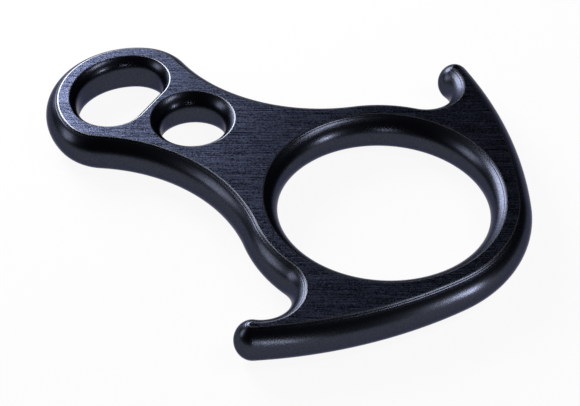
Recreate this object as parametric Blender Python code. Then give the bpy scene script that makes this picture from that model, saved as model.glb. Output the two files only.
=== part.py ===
# Rescue figure eight descender: one plate of aluminium, machined from both sides.
#
# The plate lies flat on z = 0. X runs along it, with the small end at +X and the big ring at -X,
# and it is symmetric about the XZ plane. The origin is at the middle of its bounding box's base.
#
# The outline is a chain of circles that touch each other, so it is worked out here from their
# radii. Its edge, and the edge of each hole, is one rounded profile swept along a closed path.

import bmesh
import bpy
from math import acos, atan2, ceil, cos, hypot, pi, radians, sin, sqrt

# Driving dimensions, in metres
PLATE_THICKNESS = 0.0150

# The big ring, which the rope runs round
RING_BORE_RADIUS = 0.0364
RING_BAR_WIDTH = 0.0140

# The small round hole
LONG_WEB = 0.0291           # metal between the ring's bore and this hole
SMALL_HOLE_RADIUS = 0.0115

# The D-shaped hole for the carabiner
CROSS_WEB = 0.0080          # metal between the round hole and the D's straight side
D_HOLE_LENGTH = 0.0265      # from the straight side to the round end
D_HOLE_RADIUS = 0.0195      # round end
D_HOLE_CORNER = 0.0113      # corners beside the straight side

# The small end's outline
NOSE_BAR_WIDTH = 0.0114     # metal beyond the D-shaped hole
HEAD_RADIUS = 0.0318
SHOULDER_RADIUS = 0.0205
SHOULDER_ANGLE = radians(66.8)   # where the shoulder takes over, from the nose
NECK_RADIUS = 0.0596             # hollow flank between the shoulder and the ring

# The ears, which stop the rope from slipping into a hitch
NOTCH_RADIUS = 0.0098
NOTCH_ANGLE = radians(76.4)      # round the ring from +X to the notch's centre
EAR_TIP_RADIUS = 0.0060
EAR_TIP_ANGLE = radians(110.5)   # from the notch's centre to the tip's, from +X
EAR_BACK_RADIUS = 0.1600

# The rounded edges. An inset is how far a round eats into the flat face. A land is the height
# of the straight wall left at mid thickness.
ROPE_EDGE_INSET = 0.0049
ROPE_EDGE_LAND = 0.0
SMALL_HOLE_INSET = 0.0036
SMALL_HOLE_LAND = 0.0026
D_HOLE_INSET = 0.0027
D_HOLE_LAND = 0.0050

# How finely curves are divided
PATH_STEP = 0.0030          # along a path, at most
PATH_TURN = radians(9.0)    # of a path, at most
EDGE_SEGMENTS = 10          # round an edge
MERGE_DISTANCE = 1e-7       # joins what is at one point

# Places along X from the ring's centre, each from the one before
RING_OUTER_RADIUS = RING_BORE_RADIUS + RING_BAR_WIDTH
SMALL_HOLE_X = RING_BORE_RADIUS + LONG_WEB + SMALL_HOLE_RADIUS
D_HOLE_X = SMALL_HOLE_X + SMALL_HOLE_RADIUS + CROSS_WEB
NOSE_X = D_HOLE_X + D_HOLE_LENGTH + NOSE_BAR_WIDTH
RING_X = (RING_OUTER_RADIUS - NOSE_X) / 2    # the ring's centre, seen from the plate's middle

ANODISED = (0.022, 0.025, 0.040)


def clear_scene():
    for old in list(bpy.data.objects):
        bpy.data.objects.remove(old)


def collection(name):
    made = bpy.data.collections.new(name)
    bpy.context.scene.collection.children.link(made)
    return made


def anodised_aluminium():
    finish = bpy.data.materials.new("anodised_aluminium")
    finish.use_nodes = True
    shader = finish.node_tree.nodes["Principled BSDF"]
    shader.inputs["Base Color"].default_value = (*ANODISED, 1.0)
    shader.inputs["Metallic"].default_value = 0.6
    shader.inputs["Roughness"].default_value = 0.34
    finish.diffuse_color = (*ANODISED, 1.0)
    return finish


def beyond(centre, distance, angle):
    return (centre[0] + distance * cos(angle), centre[1] + distance * sin(angle))


def direction(start, end):
    """The angle from one point to another, from 0 to a full turn."""
    return atan2(end[1] - start[1], end[0] - start[0]) % (2 * pi)


def touching(first, reach, second, other_reach, side):
    """The point at these two distances from two points, to the left (+1) or right (-1) of the way."""
    span = hypot(second[0] - first[0], second[1] - first[1])
    along = (reach ** 2 - other_reach ** 2 + span ** 2) / (2 * span)
    across = side * sqrt(reach ** 2 - along ** 2)
    way = direction(first, second)
    return beyond(beyond(first, along, way), across, way + pi / 2)


def arc(centre, radius, start, end):
    """Points from one angle to another, without the last, which the next arc begins with."""
    turn = abs(end - start)
    steps = max(2, ceil(turn / PATH_TURN), ceil(turn * radius / PATH_STEP))
    return [beyond(centre, radius, start + (end - start) * step / steps) for step in range(steps)]


def mirrored(half):
    """A closed path from its half at y >= 0, which starts and ends on the X axis."""
    return half + [(x, -y) for x, y in reversed(half[1:-1])]


def plate_outline():
    """The outer path: nose, shoulder, neck, ring, notch, ear tip, ear back and ring again."""
    ring = (0.0, 0.0)
    head = (NOSE_X - HEAD_RADIUS, 0.0)
    shoulder = beyond(head, HEAD_RADIUS - SHOULDER_RADIUS, SHOULDER_ANGLE)
    neck = touching(ring, RING_OUTER_RADIUS + NECK_RADIUS, shoulder, SHOULDER_RADIUS + NECK_RADIUS, 1)
    notch = beyond(ring, RING_OUTER_RADIUS + NOTCH_RADIUS, NOTCH_ANGLE)
    tip = beyond(notch, NOTCH_RADIUS + EAR_TIP_RADIUS, EAR_TIP_ANGLE)
    back = touching(ring, EAR_BACK_RADIUS - RING_OUTER_RADIUS,
                    tip, EAR_BACK_RADIUS - EAR_TIP_RADIUS, -1)
    leaves_back = direction(back, ring)
    half = arc(head, HEAD_RADIUS, 0.0, SHOULDER_ANGLE)
    half += arc(shoulder, SHOULDER_RADIUS, SHOULDER_ANGLE, direction(shoulder, neck))
    half += arc(neck, NECK_RADIUS, direction(neck, shoulder), direction(neck, ring))
    half += arc(ring, RING_OUTER_RADIUS, direction(ring, neck), NOTCH_ANGLE)
    half += arc(notch, NOTCH_RADIUS, NOTCH_ANGLE + pi, EAR_TIP_ANGLE)
    half += arc(tip, EAR_TIP_RADIUS, EAR_TIP_ANGLE - pi, direction(back, tip))
    half += arc(back, EAR_BACK_RADIUS, direction(back, tip), leaves_back)
    half += arc(ring, RING_OUTER_RADIUS, leaves_back, pi)
    return mirrored(half + [beyond(ring, RING_OUTER_RADIUS, pi)])


def d_outline():
    """The D: its round end towards the nose, then a corner, then half the straight side."""
    round_end = (D_HOLE_X + D_HOLE_LENGTH - D_HOLE_RADIUS, 0.0)
    corner_x = D_HOLE_X + D_HOLE_CORNER
    turn = acos((corner_x - round_end[0]) / (D_HOLE_RADIUS - D_HOLE_CORNER))
    corner = beyond(round_end, D_HOLE_RADIUS - D_HOLE_CORNER, turn)
    half = arc(round_end, D_HOLE_RADIUS, 0.0, turn)
    half += arc(corner, D_HOLE_CORNER, turn, pi)
    half += [(D_HOLE_X, corner[1]), (D_HOLE_X, 0.0)]
    return mirrored(half)


def round_outline(x, radius):
    return arc((x, 0.0), radius, 0.0, 2 * pi)


def edge_profile(inset, land, metal):
    """From the lower face to the upper: an arc, the land and an arc.

    A sweep turns a profile's +X to the inside of its path, so metal is 1 where the path goes
    round metal and -1 where it goes round a hole.
    """
    rise = (PLATE_THICKNESS - land) / 2
    radius = (rise ** 2 + inset ** 2) / (2 * inset)
    reach = atan2(rise, radius - inset)
    steps = EDGE_SEGMENTS // 2
    upper = [beyond((radius, land / 2), radius, pi - reach * step / steps) for step in range(steps + 1)]
    upper = [(metal * x, y) for x, y in upper]
    lower = [(x, -y) for x, y in reversed(upper)]
    return lower + (upper if land else upper[1:])


def poly_curve(name, points, closed):
    curve = bpy.data.curves.new(name, "CURVE")
    curve.dimensions = "2D"
    curve.fill_mode = "NONE"
    spline = curve.splines.new("POLY")
    spline.points.add(len(points) - 1)
    for point, (x, y) in zip(spline.points, points):
        point.co = (x, y, 0.0, 1.0)
    spline.use_cyclic_u = closed
    return bpy.data.objects.new(name, curve)


def swept_edge(name, path, profile, guides):
    """A strip of surface: the profile carried along the closed path, as a new mesh.

    The path and the profile stay in the guides, as plain wires.
    """
    rail = poly_curve(name + "_path", [(x + RING_X, y) for x, y in path], True)
    section = poly_curve(name + "_profile", profile, False)
    rail.location.z = PLATE_THICKNESS / 2
    rail.data.bevel_mode = "OBJECT"
    rail.data.bevel_object = section
    for guide in (rail, section):
        guides.objects.link(guide)
        guide.hide_render = True
        guide.display_type = "WIRE"
    bpy.context.view_layer.update()
    swept = rail.evaluated_get(bpy.context.evaluated_depsgraph_get())
    strip = bpy.data.meshes.new_from_object(swept)
    strip.transform(rail.matrix_world)
    rail.data.bevel_object = None
    return strip


def descender_plate(parts, guides):
    """The swept edges of the plate and its holes, closed by a flat face above and below."""
    edges = (
        ("outer_edge", plate_outline(), ROPE_EDGE_INSET, ROPE_EDGE_LAND, 1),
        ("ring_bore", round_outline(0.0, RING_BORE_RADIUS), ROPE_EDGE_INSET, ROPE_EDGE_LAND, -1),
        ("small_hole", round_outline(SMALL_HOLE_X, SMALL_HOLE_RADIUS),
         SMALL_HOLE_INSET, SMALL_HOLE_LAND, -1),
        ("d_hole", d_outline(), D_HOLE_INSET, D_HOLE_LAND, -1),
    )
    shape = bmesh.new()
    for name, path, inset, land, metal in edges:
        strip = swept_edge(name, path, edge_profile(inset, land, metal), guides)
        shape.from_mesh(strip)
        bpy.data.meshes.remove(strip)
    bmesh.ops.remove_doubles(shape, verts=shape.verts, dist=MERGE_DISTANCE)
    rims = [edge for edge in shape.edges if edge.is_boundary]
    for face in shape.faces:
        face.smooth = True
    for upper in (False, True):
        rim = [edge for edge in rims if (edge.verts[0].co.z > PLATE_THICKNESS / 2) == upper]
        bmesh.ops.triangle_fill(shape, edges=rim, use_beauty=True)
    for rim in rims:
        rim.smooth = False
    bmesh.ops.recalc_face_normals(shape, faces=shape.faces)
    mesh = bpy.data.meshes.new("descender_plate")
    shape.to_mesh(mesh)
    shape.free()
    plate = bpy.data.objects.new("descender_plate", mesh)
    plate.data.materials.append(anodised_aluminium())
    parts.objects.link(plate)


clear_scene()
descender_plate(collection("rescue_figure_eight"), collection("guides"))
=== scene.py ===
from math import acos, atan2, ceil, cos, pi, radians, sin, sqrt

import bpy
from mathutils import Matrix, Vector


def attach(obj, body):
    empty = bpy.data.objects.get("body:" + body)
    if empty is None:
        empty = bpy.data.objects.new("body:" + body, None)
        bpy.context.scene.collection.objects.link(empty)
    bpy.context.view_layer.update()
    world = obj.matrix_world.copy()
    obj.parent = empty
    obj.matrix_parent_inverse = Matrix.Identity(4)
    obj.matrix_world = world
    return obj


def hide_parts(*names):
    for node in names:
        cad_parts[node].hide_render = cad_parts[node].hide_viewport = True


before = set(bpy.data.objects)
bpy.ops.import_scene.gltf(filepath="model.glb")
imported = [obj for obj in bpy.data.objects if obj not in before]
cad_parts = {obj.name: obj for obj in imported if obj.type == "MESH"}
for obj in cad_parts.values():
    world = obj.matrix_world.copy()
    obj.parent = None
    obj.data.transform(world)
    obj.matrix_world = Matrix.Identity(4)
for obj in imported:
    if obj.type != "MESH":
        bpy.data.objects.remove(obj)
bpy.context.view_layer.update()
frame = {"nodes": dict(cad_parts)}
print("frame loaded:", ", ".join(frame["nodes"]))

# The plate lies flat on z = 0, the small end at +X and the big ring at -X. Everything is in metres.

plate = {
    "thickness": 0.0150,
    "ringBore": 0.0364,            # radius
    "ringBar": 0.0140,
    "longWeb": 0.0291,             # metal between the ring's bore and the small hole
    "smallHole": 0.0115,           # radius
    "crossWeb": 0.0080,            # metal between the small hole and the D-shaped one
    "dLength": 0.0265,
    "dRound": 0.0195,
    "dCorner": 0.0113,
    "noseBar": 0.0114,
    "headRadius": 0.0318,
    "shoulderRadius": 0.0205,
    "shoulderAngle": radians(66.8),
    "neckRadius": 0.0596,
    "notchRadius": 0.0098,
    "notchAngle": radians(76.4),
    "tipRadius": 0.0060,
    "tipAngle": radians(110.5),
    "backRadius": 0.1600,
}

# How far each rounded edge eats into the flat face, the straight wall left at mid height, and how
# deep the cutter's marks beside the flat face are, from it outwards
edges = {
    "rope": {"inset": 0.0049, "land": 0.0, "grooves": (0.000042, 0.000028, 0.000018)},
    "smallHole": {"inset": 0.0036, "land": 0.0026, "grooves": ()},
    "dHole": {"inset": 0.0027, "land": 0.0050, "grooves": ()},
}

modelling = {
    "turnStep": radians(3.0),      # of a path, at most
    "lengthStep": 0.0012,          # along a path, at most
    "sectionStep": radians(5.0),   # round an edge's section
    "cornerWidth": 0.00018,        # of the broken corner, to each side of the crease
    "grooveWidth": 0.00060,
    "sharpFrom": radians(6.5),     # creases that turn more than this stay crisp
    "merge": 0.000001,
}


def onCircle(centre, radius, angle):
    return Vector((centre.x + radius * cos(angle), centre.y + radius * sin(angle)))


def bearing(start, end):
    return atan2(end.y - start.y, end.x - start.x) % (2 * pi)


def touchingCentre(first, reach, second, otherReach, side):
    # the point at these distances from two centres, left (1) or right (-1) of the way
    span = (second - first).length
    along = (reach ** 2 - otherReach ** 2 + span ** 2) / (2 * span)
    across = side * sqrt(reach ** 2 - along ** 2)
    way = bearing(first, second)
    return onCircle(onCircle(first, along, way), across, way + pi / 2)


def deselectAll():
    if bpy.context.object and bpy.context.object.mode != "OBJECT":
        bpy.ops.object.mode_set(mode="OBJECT")
    bpy.ops.object.select_all(action="DESELECT")


def editMesh(piece):
    deselectAll()
    piece.select_set(True)
    bpy.context.view_layer.objects.active = piece
    bpy.ops.object.mode_set(mode="EDIT")
    bpy.ops.mesh.select_mode(type="VERT")


def selectVertices(piece, wanted):
    # by place: leaves the mesh in edit mode with the vertices that wanted() accepts selected
    bpy.ops.mesh.select_mode(type="VERT")
    bpy.ops.mesh.select_all(action="DESELECT")
    bpy.ops.object.mode_set(mode="OBJECT")
    for vertex in piece.data.vertices:
        vertex.select = wanted(vertex.co)
    bpy.ops.object.mode_set(mode="EDIT")


def edgeSection(name, x, edge, metal):
    # the upper half of an edge's section, standing in the XZ plane with its wall at x
    middle = plate["thickness"] / 2
    rise = middle - edge["land"] / 2
    radius = (rise ** 2 + edge["inset"] ** 2) / (2 * edge["inset"])
    reach = atan2(rise, radius - edge["inset"])     # where the round meets the flat face
    centre = Vector((x + metal * radius, 0, middle + edge["land"] / 2))
    step = modelling["sectionStep"]

    def outwards(angle):
        return Vector((-metal * cos(angle), 0, sin(angle)))

    def cut(angle, clear=False):
        # across the section, at right angles to the round
        bpy.ops.mesh.select_all(action="SELECT")
        bpy.ops.mesh.bisect(plane_co=centre, plane_no=(metal * sin(angle), 0, cos(angle)),
                            clear_outer=clear, threshold=modelling["merge"])

    deselectAll()
    bpy.ops.mesh.primitive_circle_add(vertices=round(2 * pi / step), radius=radius,
                                      location=centre, rotation=(pi / 2, 0, 0))
    section = bpy.context.object
    section.name = name
    bpy.ops.object.transform_apply(location=True, rotation=True, scale=True)
    editMesh(section)
    bpy.ops.mesh.select_all(action="SELECT")
    bpy.ops.mesh.bisect(plane_co=centre, plane_no=(0, 0, 1), clear_inner=True,
                        threshold=modelling["merge"])
    bpy.ops.mesh.select_all(action="SELECT")
    bpy.ops.mesh.bisect(plane_co=centre, plane_no=(-metal, 0, 0), clear_inner=True,
                        threshold=modelling["merge"])
    cut(reach - modelling["cornerWidth"] / radius, clear=True)
    lastStep = int((reach - 2 * modelling["cornerWidth"] / radius) / step)
    for mark, depth in enumerate(edge["grooves"]):
        angle = (lastStep - mark) * step
        halfWidth = modelling["grooveWidth"] / radius / 2
        cut(angle - halfWidth)
        cut(angle + halfWidth)
        bottom = centre + outwards(angle) * radius
        selectVertices(section, lambda co: (co - bottom).length < modelling["grooveWidth"] / 4)
        bpy.ops.transform.translate(value=outwards(angle) * -depth)
    bpy.ops.object.mode_set(mode="OBJECT")
    top = max((vertex.co for vertex in section.data.vertices), key=lambda co: co.z).copy()
    bpy.ops.object.mode_set(mode="EDIT")
    selectVertices(section, lambda co: (co - top).length < modelling["merge"])
    flatX = x + metal * (edge["inset"] + modelling["cornerWidth"])
    bpy.ops.mesh.extrude_region_move(
        TRANSFORM_OT_translate={"value": (flatX - top.x, 0, plate["thickness"] - top.z)})
    if edge["land"]:
        selectVertices(section, lambda co: co.z < middle + edge["land"] / 2 + modelling["merge"])
        bpy.ops.mesh.extrude_region_move(
            TRANSFORM_OT_translate={"value": (0, 0, -edge["land"] / 2)})
    bpy.ops.mesh.select_all(action="SELECT")
    return section


def spinAlong(centre, turn, radius):
    # carries the selected section on about a centre; what comes out selected is its new place
    steps = max(2, ceil(abs(turn) / modelling["turnStep"]),
                ceil(abs(turn) * radius / modelling["lengthStep"]))
    bpy.ops.mesh.spin(steps=steps, angle=turn, center=(centre.x, centre.y, 0), axis=(0, 0, -1))


def spinOutline(section, arcs):
    for centre, start, end, radius in arcs:
        spinAlong(centre, end - start, radius)


ringRadius = plate["ringBore"] + plate["ringBar"]
smallHoleOffset = plate["ringBore"] + plate["longWeb"] + plate["smallHole"]
dOffset = smallHoleOffset + plate["smallHole"] + plate["crossWeb"]
noseOffset = dOffset + plate["dLength"] + plate["noseBar"]
ring = Vector(((ringRadius - noseOffset) / 2, 0))
noseX = ring.x + noseOffset

head = Vector((noseX - plate["headRadius"], 0))
shoulder = onCircle(head, plate["headRadius"] - plate["shoulderRadius"], plate["shoulderAngle"])
neck = touchingCentre(ring, ringRadius + plate["neckRadius"],
                      shoulder, plate["shoulderRadius"] + plate["neckRadius"], 1)
notch = onCircle(ring, ringRadius + plate["notchRadius"], plate["notchAngle"])
tip = onCircle(notch, plate["notchRadius"] + plate["tipRadius"], plate["tipAngle"])
back = touchingCentre(ring, plate["backRadius"] - ringRadius,
                      tip, plate["backRadius"] - plate["tipRadius"], -1)

outerArcs = [
    (head, 0, plate["shoulderAngle"], plate["headRadius"]),
    (shoulder, plate["shoulderAngle"], bearing(shoulder, neck), plate["shoulderRadius"]),
    (neck, bearing(neck, shoulder), bearing(neck, ring), plate["neckRadius"]),
    (ring, bearing(ring, neck), plate["notchAngle"], ringRadius),
    (notch, plate["notchAngle"] + pi, plate["tipAngle"], plate["notchRadius"]),
    (tip, plate["tipAngle"] - pi, bearing(back, tip), plate["tipRadius"]),
    (back, bearing(back, tip), bearing(back, ring), plate["backRadius"]),
    (ring, bearing(back, ring), pi, ringRadius),
]

dWallX = ring.x + dOffset
dEnd = Vector((dWallX + plate["dLength"] - plate["dRound"], 0))
dTurn = acos((dWallX + plate["dCorner"] - dEnd.x) / (plate["dRound"] - plate["dCorner"]))
dCorner = onCircle(dEnd, plate["dRound"] - plate["dCorner"], dTurn)

outer = edgeSection("descender", noseX, edges["rope"], -1)
spinOutline(outer, outerArcs)

ringHole = edgeSection("ringHole", ring.x + plate["ringBore"], edges["rope"], 1)
spinAlong(ring, pi, plate["ringBore"])

smallHole = edgeSection("smallHole", ring.x + smallHoleOffset + plate["smallHole"],
                        edges["smallHole"], 1)
spinAlong(Vector((ring.x + smallHoleOffset, 0)), pi, plate["smallHole"])

dHole = edgeSection("dHole", dWallX + plate["dLength"], edges["dHole"], 1)
spinAlong(dEnd, dTurn, plate["dRound"])
spinAlong(dCorner, pi - dTurn, plate["dCorner"])
bpy.ops.mesh.extrude_region_move(TRANSFORM_OT_translate={"value": (0, -dCorner.y, 0)})
print("edges spun")


def upperRim(co):
    return co.z > plate["thickness"] - modelling["merge"]


deselectAll()
for strip in (outer, ringHole, smallHole, dHole):
    strip.select_set(True)
bpy.context.view_layer.objects.active = outer
bpy.ops.object.join()
descender = bpy.context.object

# The other side of the long axis, the flat face, its broken corners, then the lower half
mirror = descender.modifiers.new("otherSide", "MIRROR")
mirror.use_axis = (False, True, False)
mirror.merge_threshold = modelling["merge"]
bpy.ops.object.modifier_apply(modifier=mirror.name)
editMesh(descender)
bpy.ops.mesh.select_all(action="SELECT")
bpy.ops.mesh.remove_doubles(threshold=modelling["merge"])
selectVertices(descender, upperRim)
bpy.ops.mesh.fill()
bpy.ops.mesh.select_all(action="SELECT")
bpy.ops.mesh.normals_make_consistent(inside=False)
bpy.ops.object.mode_set(mode="OBJECT")
mirror = descender.modifiers.new("lowerHalf", "MIRROR")
mirror.use_axis = (False, False, True)
mirror.merge_threshold = modelling["merge"]
middle = bpy.data.objects.new("middle", None)
middle.location.z = plate["thickness"] / 2
bpy.context.scene.collection.objects.link(middle)
mirror.mirror_object = middle
bpy.context.view_layer.objects.active = descender
bpy.ops.object.modifier_apply(modifier=mirror.name)
bpy.data.objects.remove(middle)
editMesh(descender)
bpy.ops.mesh.select_all(action="SELECT")
bpy.ops.mesh.remove_doubles(threshold=modelling["merge"])
bpy.ops.mesh.normals_make_consistent(inside=False)
bpy.ops.object.mode_set(mode="OBJECT")
bpy.ops.object.shade_smooth_by_angle(angle=modelling["sharpFrom"])
print("plate closed:", len(descender.data.polygons), "faces")


class Signal:
    # a number that changes over the surface, so that shader maths reads as maths
    def __init__(self, finish, socket):
        self.finish = finish
        self.socket = socket

    def maths(self, operation, first, second):
        return self.finish.node("ShaderNodeMath", {"operation": operation}, {0: first, 1: second})

    def __add__(self, other):
        return self.maths("ADD", self, other)

    def __radd__(self, other):
        return self.maths("ADD", other, self)

    def __sub__(self, other):
        return self.maths("SUBTRACT", self, other)

    def __rsub__(self, other):
        return self.maths("SUBTRACT", other, self)

    def __mul__(self, other):
        return self.maths("MULTIPLY", self, other)

    def __rmul__(self, other):
        return self.maths("MULTIPLY", other, self)


class Finish:
    def __init__(self, name):
        self.material = bpy.data.materials.new(name)
        self.material.use_nodes = True
        self.tree = self.material.node_tree
        self.tree.nodes.clear()

    def node(self, kind, settings, sockets, output=0):
        made = self.tree.nodes.new(kind)
        for key, value in settings.items():
            setattr(made, key, value)
        for key, value in sockets.items():
            if isinstance(value, Signal):
                self.tree.links.new(value.socket, made.inputs[key])
            else:
                made.inputs[key].default_value = value
        return Signal(self, made.outputs[output]) if made.outputs else None


# Black anodising reflects little: these colours are its reflectance, a navy black
edgeTint = (0.50, 0.50, 0.58, 1)       # how far it becomes a mirror, seen along the surface

brushed = {
    "dark": (0.0012, 0.0014, 0.0025, 1),
    "light": (0.1450, 0.1694, 0.2830, 1),
    "roughness": 0.296,
    "roughnessChange": 0.10,
    "grainAngle": radians(-150.4),     # the brushing runs across the picture
    "streak": (0.0090, 0.00028),       # length and width, in metres
    "scratch": (0.0300, 0.00050),
    "speckle": 0.00040,
    "grainDetail": 2.0,
    "speckleDetail": 1.0,
    "shares": {"streak": 0.36, "scratch": 0.26, "speckle": 0.38},
    "middle": 0.4,                     # lower than a half: light flecks on dark
    "contrast": 3.5,
    "relief": 0.000045,
    "reliefShares": {"streak": 0.5, "speckle": 0.5},
}

rounded = {
    "dark": (0.0182, 0.0204, 0.0294, 1),
    "light": (0.0476, 0.0524, 0.0728, 1),
    "roughness": 0.275,
    "roughnessChange": 0.08,
    "speckle": 0.00060,
    "speckleDetail": 2.0,
    "relief": 0.0000015,
}

# The finish rubs thin along the broken corners, more in some places than in others
wornCorner = {
    "kept": (0.045, 0.050, 0.066, 1),
    "rubbed": (0.172, 0.180, 0.198, 1),
    "patch": 0.0050,
    "patchDetail": 3.0,
    "roughness": 0.34,
}


def mixColour(finish, factor, dark, light):
    # sockets 6 and 7 are the Mix node's two colours, and output 2 is its colour
    return finish.node("ShaderNodeMix", {"data_type": "RGBA"},
                       {"Factor": factor, 6: dark, 7: light}, 2)


def noise(finish, vector, size, detail):
    return finish.node("ShaderNodeTexNoise", {},
                       {"Vector": vector, "Scale": 1 / size, "Detail": detail})


def brushedFinish():
    finish = Finish("brushedAnodised")
    place = finish.node("ShaderNodeTexCoord", {}, {}, "Object")

    def grain(size):
        along = finish.node("ShaderNodeMapping", {"vector_type": "TEXTURE"},
                            {"Vector": place, "Rotation": (0, 0, brushed["grainAngle"]),
                             "Scale": (size[0], size[1], 1)})
        return noise(finish, along, 1, brushed["grainDetail"])

    streaks = grain(brushed["streak"])
    scratches = grain(brushed["scratch"])
    speckles = noise(finish, place, brushed["speckle"], brushed["speckleDetail"])
    share, reliefShare = brushed["shares"], brushed["reliefShares"]
    mixed = (share["streak"] * streaks + share["scratch"] * scratches
             + share["speckle"] * speckles)
    pattern = brushed["middle"] + brushed["contrast"] * (mixed - 0.5)
    height = reliefShare["streak"] * streaks + reliefShare["speckle"] * speckles
    bump = finish.node("ShaderNodeBump", {}, {"Height": height, "Distance": brushed["relief"]})
    surface = finish.node("ShaderNodeBsdfPrincipled", {}, {
        "Base Color": mixColour(finish, pattern, brushed["dark"], brushed["light"]),
        "Metallic": 1.0, "Specular Tint": edgeTint, "Normal": bump,
        # where the brushing rubbed the finish light, it is rougher too
        "Roughness": brushed["roughness"] + brushed["roughnessChange"] * (pattern - 0.5)})
    finish.node("ShaderNodeOutputMaterial", {}, {"Surface": surface})
    return finish.material


def roundedFinish():
    finish = Finish("satinAnodised")
    place = finish.node("ShaderNodeTexCoord", {}, {}, "Object")
    speckles = noise(finish, place, rounded["speckle"], rounded["speckleDetail"])
    bump = finish.node("ShaderNodeBump", {}, {"Height": speckles, "Distance": rounded["relief"]})
    surface = finish.node("ShaderNodeBsdfPrincipled", {}, {
        "Base Color": mixColour(finish, speckles, rounded["dark"], rounded["light"]),
        "Metallic": 1.0, "Specular Tint": edgeTint, "Normal": bump,
        "Roughness": rounded["roughness"] + rounded["roughnessChange"] * (0.5 - speckles)})
    finish.node("ShaderNodeOutputMaterial", {}, {"Surface": surface})
    return finish.material


def cornerFinish():
    finish = Finish("wornCorner")
    place = finish.node("ShaderNodeTexCoord", {}, {}, "Object")
    wear = noise(finish, place, wornCorner["patch"], wornCorner["patchDetail"])
    surface = finish.node("ShaderNodeBsdfPrincipled", {}, {
        "Base Color": mixColour(finish, wear, wornCorner["kept"], wornCorner["rubbed"]),
        "Metallic": 1.0, "Roughness": wornCorner["roughness"]})
    finish.node("ShaderNodeOutputMaterial", {}, {"Surface": surface})
    return finish.material


descender.data.materials.clear()
descender.data.materials.append(roundedFinish())
descender.data.materials.append(brushedFinish())
descender.data.materials.append(cornerFinish())
cornerDepth = modelling["cornerWidth"] / 3      # a broken corner's middle lies less deep than this
for face in descender.data.polygons:
    beyondFlat = min(face.center.z, plate["thickness"] - face.center.z)
    if beyondFlat < modelling["merge"]:
        face.material_index = 1
    elif beyondFlat < cornerDepth:
        face.material_index = 2
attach(descender, "root")
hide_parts("descender_plate")
print("finishes on")

# The camera of the photograph
camera = {
    "place": (-0.20550, 0.35325, 0.38525),
    "awayFromX": 150.435,          # turn of the plate's axis in the picture, in degrees
    "down": 44.04,
    "roll": -0.412,
    "lens": 98.34,
    "sensor": 36,
}

away = radians(camera["awayFromX"])
turned = Matrix.Rotation(-away, 3, "Z")
pictureRight = turned @ Vector((1, 0, 0))
pictureAway = turned @ Vector((0, 1, 0))
bpy.ops.object.camera_add(location=camera["place"])
eye = bpy.context.object
eye.data.lens = camera["lens"]
eye.data.sensor_width = camera["sensor"]
look = turned @ Matrix.Rotation(radians(90 - camera["down"]), 3, "X")
eye.rotation_euler = (look @ Matrix.Rotation(radians(-camera["roll"]), 3, "Z")).to_euler()
bpy.context.scene.camera = eye

# Lamps: bearing from the way the camera looks, to the right positive, height angle and distance
# from the plate's middle; size across and up, roll, and how bright its face is
lamps = {
    "leftSoftbox": {"bearing": -38.3, "height": 29.4, "distance": 0.507, "size": (0.346, 0.201),
                    "roll": 45.4, "brightness": 14.4},
    "leftDiffuser": {"bearing": -30.1, "height": 21.9, "distance": 0.691, "size": (0.535, 0.520),
                     "roll": 18.0, "brightness": 2.7},
    "farLeftBox": {"bearing": -92.9, "height": 21.1, "distance": 0.841, "size": (0.281, 0.376),
                   "roll": 36.0, "brightness": 4.4},
    "rightStrip": {"bearing": 101.1, "height": 55.0, "distance": 0.464, "size": (0.158, 0.069),
                   "roll": -56.0, "brightness": 15.4},
    "rightLow": {"bearing": 122.5, "height": 7.0, "distance": 0.615, "size": (0.068, 0.140),
                 "roll": -10.8, "brightness": 40.5},
    "frontSpot": {"bearing": 172.5, "height": 8.4, "distance": 0.276, "size": (0.020, 0.068),
                  "roll": 35.3, "brightness": 13.1},
}
for name, lamp in lamps.items():
    turn, height = radians(lamp["bearing"]), radians(lamp["height"])
    level = pictureAway * cos(turn) + pictureRight * sin(turn)
    way = level * cos(height) + Vector((0, 0, sin(height)))
    bpy.ops.object.light_add(type="AREA", location=way * lamp["distance"])
    light = bpy.context.object
    light.name = name
    light.data.shape = "RECTANGLE"
    light.data.size, light.data.size_y = lamp["size"]
    light.data.energy = lamp["brightness"] * pi * lamp["size"][0] * lamp["size"][1]
    facing = way.to_track_quat("Z", "Y").to_matrix()
    light.rotation_euler = (facing @ Matrix.Rotation(radians(lamp["roll"]), 3, "Z")).to_euler()

# A plain pale floor, which is white to the camera, in the metal and through the holes. What is left
# of its surface keeps the shadow.
studio = {"fill": 0.02, "floorSize": 6, "floorPale": 0.80, "floorGlow": 0.92}

world = bpy.data.worlds.new("studio")
world.use_nodes = True
surround = world.node_tree.nodes["Background"]
surround.inputs["Color"].default_value = (studio["fill"], studio["fill"], studio["fill"], 1)
bpy.context.scene.world = world

deselectAll()
bpy.ops.mesh.primitive_plane_add(size=studio["floorSize"], location=(0, 0, 0))
floor = bpy.context.object
floor.name = "floor"
floorFinish = Finish("paleFloor")
ray = floorFinish.tree.nodes.new("ShaderNodeLightPath")
isCamera = Signal(floorFinish, ray.outputs["Is Camera Ray"])
isGlossy = Signal(floorFinish, ray.outputs["Is Glossy Ray"])
isTransmission = Signal(floorFinish, ray.outputs["Is Transmission Ray"])
seen = studio["floorGlow"] * (isCamera + isGlossy + isTransmission)
pale = (studio["floorPale"], studio["floorPale"], studio["floorPale"], 1)
paper = floorFinish.node("ShaderNodeBsdfDiffuse", {}, {"Color": pale})
glow = floorFinish.node("ShaderNodeEmission", {}, {"Color": (1, 1, 1, 1), "Strength": 1.0})
mixed = floorFinish.node("ShaderNodeMixShader", {}, {0: seen, 1: paper, 2: glow})
floorFinish.node("ShaderNodeOutputMaterial", {}, {"Surface": mixed})
floor.data.materials.append(floorFinish.material)

bpy.context.scene.view_settings.view_transform = "Standard"
print("stage set")
